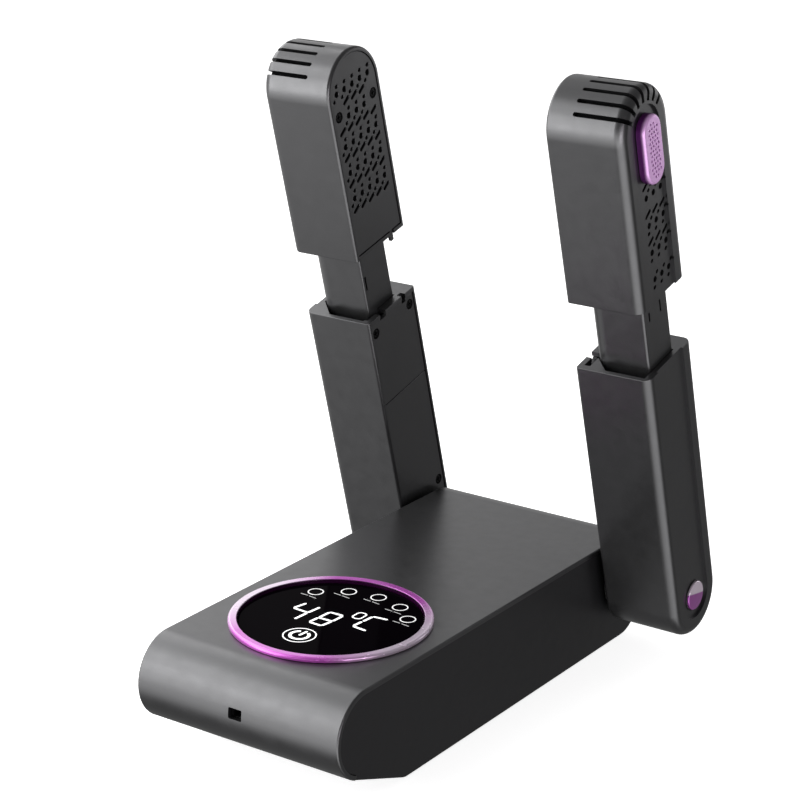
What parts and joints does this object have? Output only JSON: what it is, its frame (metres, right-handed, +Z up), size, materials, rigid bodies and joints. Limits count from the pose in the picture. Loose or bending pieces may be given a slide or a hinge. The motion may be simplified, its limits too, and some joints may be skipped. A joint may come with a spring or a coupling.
{
  "type": "boot dryer",
  "caption": "Folding boot and shoe dryer: a flat fan base with a round touch display, and hollow perforated arms beside it that fold forward and telescope.",
  "frame": {"origin": "on the floor under the middle of the base, where the feet stand", "axes": "+X to the right seen from the nose, +Y from the nose to the rear where the arms pivot, +Z up"},
  "size_m": [0.2002, 0.257, 0.2946],
  "materials": {
    "shell_grey": "satin",
    "shell_dark": "satin",
    "inner_black": "satin",
    "magenta_trim": "metallic gloss",
    "lilac_trim": "satin",
    "display_black": "gloss",
    "rubber": "matt",
    "steel": "satin",
    "aluminium_fins": "satin",
    "circuit_board": "satin",
    "filter_foam": "matt"
  },
  "bodies": {
    "base": {"base_lower_shell": "shell_dark", "base_top_shell": "shell_grey", "display_ring": "magenta_trim", "display_lens": "display_black", "display_board": "circuit_board", "control_board": "circuit_board", "power_inlet": "inner_black", "intake_grille": "inner_black", "intake_filter": "filter_foam", "blower_housing": "inner_black", "blower_motor": "steel", "heater_frame": "inner_black", "heater_core": "aluminium_fins", "air_manifold": "inner_black", "foot_front_left": "rubber", "foot_front_right": "rubber", "foot_rear_left": "rubber", "foot_rear_right": "rubber", "base_screw_1": "steel", "base_screw_2": "steel", "base_screw_3": "steel", "base_screw_4": "steel", "left_pivot_tube": "inner_black", "left_pivot_washer": "rubber", "left_pivot_clip": "steel", "right_pivot_tube": "inner_black", "right_pivot_washer": "rubber", "right_pivot_clip": "steel"},
    "impeller": {"impeller": "inner_black"},
    "left_arm": {"left_sleeve_shell": "shell_grey", "left_sleeve_cover_lower": "shell_grey", "left_sleeve_cover_upper": "shell_grey", "left_pivot_cap": "magenta_trim", "left_neck_guide": "inner_black", "left_sleeve_screw_front": "steel", "left_sleeve_screw_rear": "steel", "left_sleeve_screw_low": "steel"},
    "left_head": {"left_neck_tube": "shell_grey", "left_head_shell": "shell_grey", "left_head_cover": "shell_grey", "left_head_grille": "lilac_trim", "left_deodoriser_board": "circuit_board", "left_head_screw_front": "steel", "left_head_screw_rear": "steel"},
    "right_arm": {"right_sleeve_shell": "shell_grey", "right_sleeve_cover_lower": "shell_grey", "right_sleeve_cover_upper": "shell_grey", "right_pivot_cap": "magenta_trim", "right_neck_guide": "inner_black", "right_sleeve_screw_front": "steel", "right_sleeve_screw_rear": "steel", "right_sleeve_screw_low": "steel"},
    "right_head": {"right_neck_tube": "shell_grey", "right_head_shell": "shell_grey", "right_head_cover": "shell_grey", "right_head_grille": "lilac_trim", "right_deodoriser_board": "circuit_board", "right_head_screw_front": "steel", "right_head_screw_rear": "steel"}
  },
  "joints": [
    {"name": "left_arm_fold", "type": "hinge", "parent": "base", "child": "left_arm", "pos_m": [-0.0582, 0.107, 0.0345], "axis": [1, 0, 0], "range_deg": [-15.4, 74.6]},
    {"name": "left_head_slide", "type": "slide", "parent": "left_arm", "child": "left_head", "axis": [0, -0.2656, 0.9641], "range_m": [-0.0337, 0]},
    {"name": "right_arm_fold", "type": "hinge", "parent": "base", "child": "right_arm", "pos_m": [0.0582, 0.107, 0.0345], "axis": [1, 0, 0], "range_deg": [-15.4, 74.6]},
    {"name": "right_head_slide", "type": "slide", "parent": "right_arm", "child": "right_head", "axis": [0, -0.2656, 0.9641], "range_m": [-0.0337, 0]},
    {"name": "impeller_spin", "type": "hinge", "parent": "base", "child": "impeller", "pos_m": [-0.004, -0.028, 0.02], "axis": [0, 0, 1], "continuous": true}
  ]
}
